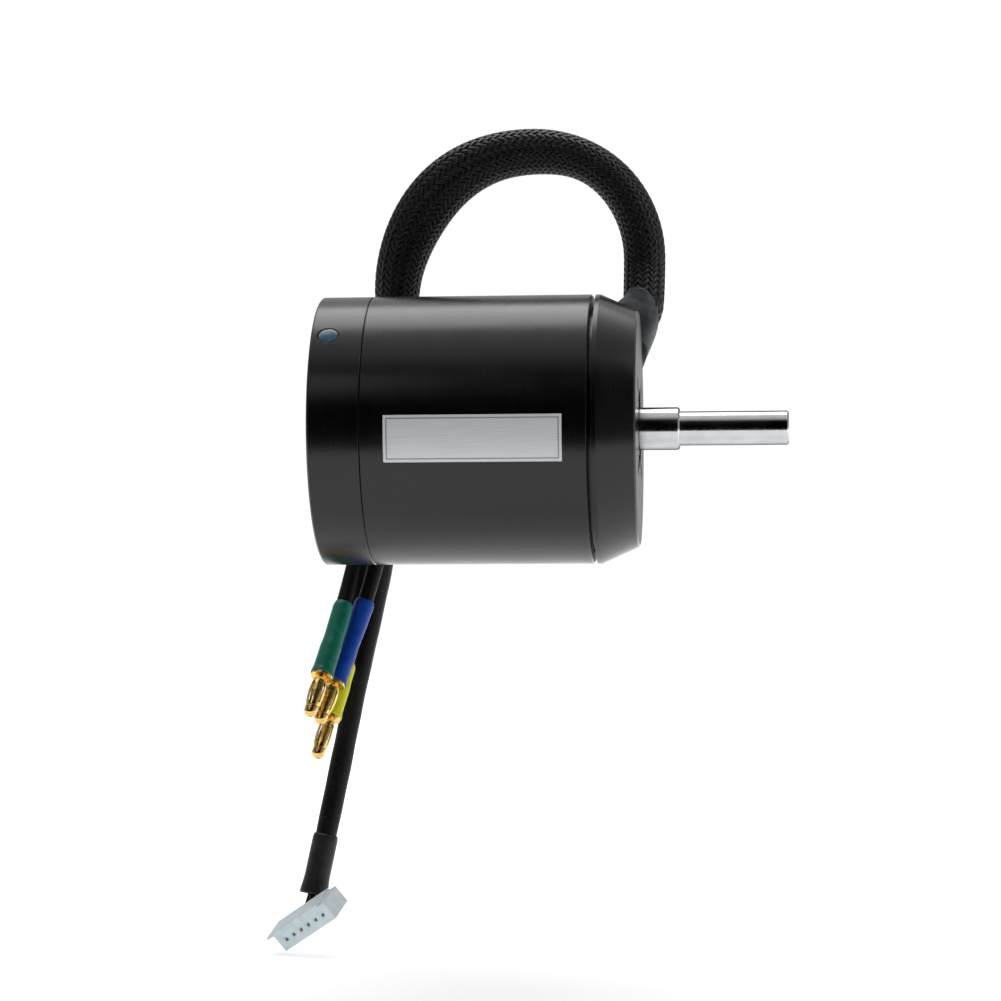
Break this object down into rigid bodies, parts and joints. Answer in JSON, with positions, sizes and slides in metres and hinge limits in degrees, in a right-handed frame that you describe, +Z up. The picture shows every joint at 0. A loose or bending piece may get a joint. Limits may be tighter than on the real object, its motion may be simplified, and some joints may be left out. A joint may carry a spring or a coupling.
{
  "type": "brushless outrunner motor",
  "caption": "Sealed brushless outrunner motor: stepped steel output shaft, conical front mount, spinning black can, braided cable loop, colour-coded bullet plugs and a sensor plug.",
  "frame": {"origin": "centre of the flat mounting face, on the shaft axis", "axes": "+X along the output shaft, out of the mounting face; +Z up, towards the top of the cable loop; the label faces -Y and the cables leave on the +Y side"},
  "size_m": [0.1278, 0.078, 0.2027],
  "materials": {
    "black_anodised": "satin black anodised aluminium",
    "bearing_steel": "ground bearing steel",
    "bearing_brass": "stamped brass cage",
    "polished_steel": "polished steel",
    "dark_steel": "oiled black steel",
    "stator_steel": "varnished electrical steel laminations",
    "insulator": "moulded insulating plastic",
    "copper_winding": "enamelled copper wire",
    "circuit_board": "solder mask over glass laminate",
    "sensor_black": "moulded component package",
    "magnet_nickel": "nickel-plated magnet",
    "threadlock": "cured blue thread-locking compound",
    "label_foil": "blank brushed foil",
    "rubber_black": "moulded rubber",
    "boot_black": "shrunk polyolefin",
    "braid_black": "woven polyester braid",
    "silicone_black": "silicone wire insulation",
    "shrink_black": "shrunk polyolefin",
    "shrink_green": "shrunk polyolefin, green",
    "shrink_blue": "shrunk polyolefin, blue",
    "shrink_yellow": "shrunk polyolefin, yellow",
    "plug_gold": "gold plate",
    "plug_white": "moulded nylon, natural white",
    "contact_tin": "tin plate"
  },
  "bodies": {
    "stator": {"front_mount": "black_anodised", "front_bearing_outer_race": "bearing_steel", "rear_bearing_outer_race": "bearing_steel", "front_bearing_shields": "polished_steel", "rear_bearing_shields": "polished_steel", "sensor_board_screws": "polished_steel", "stator_core": "stator_steel", "front_end_insulator": "insulator", "rear_end_insulator": "insulator", "phase_a_coils": "copper_winding", "phase_b_coils": "copper_winding", "phase_c_coils": "copper_winding", "sensor_board": "circuit_board", "hall_sensors": "sensor_black", "temperature_sensor": "sensor_black", "cable_grommet": "rubber_black", "exit_boot": "boot_black", "phase_lead_a": "silicone_black", "phase_lead_b": "silicone_black", "phase_lead_c": "silicone_black", "sensor_wires": "silicone_black", "cable_sleeve": "braid_black", "sleeve_end_wrap": "shrink_black", "sensor_cable_jacket": "shrink_black", "sensor_cable_end_sleeve": "shrink_black", "green_heat_shrink": "shrink_green", "blue_heat_shrink": "shrink_blue", "yellow_heat_shrink": "shrink_yellow", "phase_plug_pins": "plug_gold", "phase_plug_springs": "plug_gold", "sensor_plug_housing": "plug_white", "sensor_plug_contacts": "contact_tin"},
    "rotor": {"shaft": "polished_steel", "front_circlip": "dark_steel", "rear_spacer": "bearing_steel", "rear_cover": "black_anodised", "rotor_can": "black_anodised", "magnets_north": "magnet_nickel", "magnets_south": "magnet_nickel", "rear_cover_set_screws": "dark_steel", "threadlock_seals": "threadlock", "can_label": "label_foil", "front_bearing_inner_race": "bearing_steel", "rear_bearing_inner_race": "bearing_steel"},
    "front_bearing_cage_set": {"front_bearing_cage": "bearing_brass", "front_bearing_balls": "bearing_steel"},
    "rear_bearing_cage_set": {"rear_bearing_cage": "bearing_brass", "rear_bearing_balls": "bearing_steel"}
  },
  "joints": [
    {"name": "rotor_spin", "type": "hinge", "parent": "stator", "child": "rotor", "pos_m": [0, 0, 0], "axis": [1, 0, 0], "continuous": true},
    {"name": "front_bearing_orbit", "type": "hinge", "parent": "stator", "child": "front_bearing_cage_set", "pos_m": [-0.0037, 0, 0], "axis": [1, 0, 0], "continuous": true},
    {"name": "rear_bearing_orbit", "type": "hinge", "parent": "stator", "child": "rear_bearing_cage_set", "pos_m": [-0.0575, 0, 0], "axis": [1, 0, 0], "continuous": true}
  ],
  "couplings": [
    {"joint": "front_bearing_orbit", "follows": "rotor_spin", "ratio": 0.41793},
    {"joint": "rear_bearing_orbit", "follows": "rotor_spin", "ratio": 0.41793}
  ]
}
